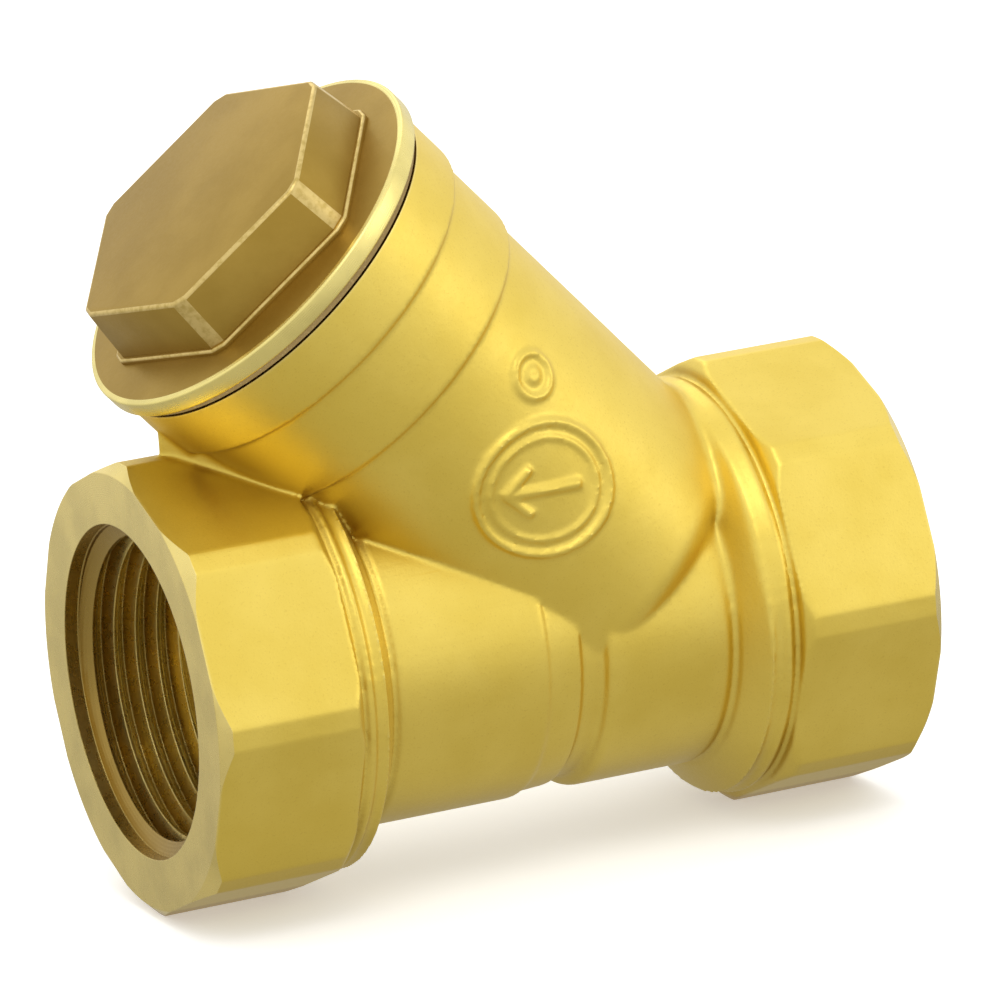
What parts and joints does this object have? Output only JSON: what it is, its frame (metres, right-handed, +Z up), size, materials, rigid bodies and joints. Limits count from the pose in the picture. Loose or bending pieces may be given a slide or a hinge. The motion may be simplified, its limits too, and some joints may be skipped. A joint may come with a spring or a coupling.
{
  "type": "y strainer",
  "caption": "Brass Y strainer with two threaded octagonal pipe ends, an inclined branch, a hexagon cap and a removable cylindrical screen.",
  "frame": {"origin": "under the middle of the run, at the height of the lowest edge of the octagonal ends", "axes": "+X along the run towards the inlet, +Z up, the branch leans towards -X in the XZ plane"},
  "size_m": [0.078, 0.0458, 0.0809],
  "materials": {
    "forged_brass": "fine blasted satin",
    "cap_brass": "fine blasted satin, browner",
    "gasket": "matte pressed fibre sheet with a rubber binder",
    "screen_steel": "rolled stainless sheet",
    "mesh_steel": "woven stainless wire"
  },
  "bodies": {
    "strainer_body": {"body": "forged_brass"},
    "screen_carrier": {"gasket": "gasket", "screen_tube": "screen_steel", "screen_mesh": "mesh_steel", "screen_ring_lower": "screen_steel", "screen_ring_upper": "screen_steel"},
    "cap": {"cap": "cap_brass"}
  },
  "joints": [
    {"name": "cap_lift", "type": "slide", "parent": "strainer_body", "child": "screen_carrier", "axis": [-0.6626, 0, 0.749], "range_m": [0, 0.0095]},
    {"name": "cap_unscrew", "type": "hinge", "parent": "screen_carrier", "child": "cap", "pos_m": [-0.0233, 0, 0.06596], "axis": [-0.6626, 0, 0.749], "range_deg": [0, 1712]}
  ],
  "couplings": [
    {"joint": "cap_unscrew", "follows": "cap_lift", "rad_per_m": 3141.6}
  ]
}
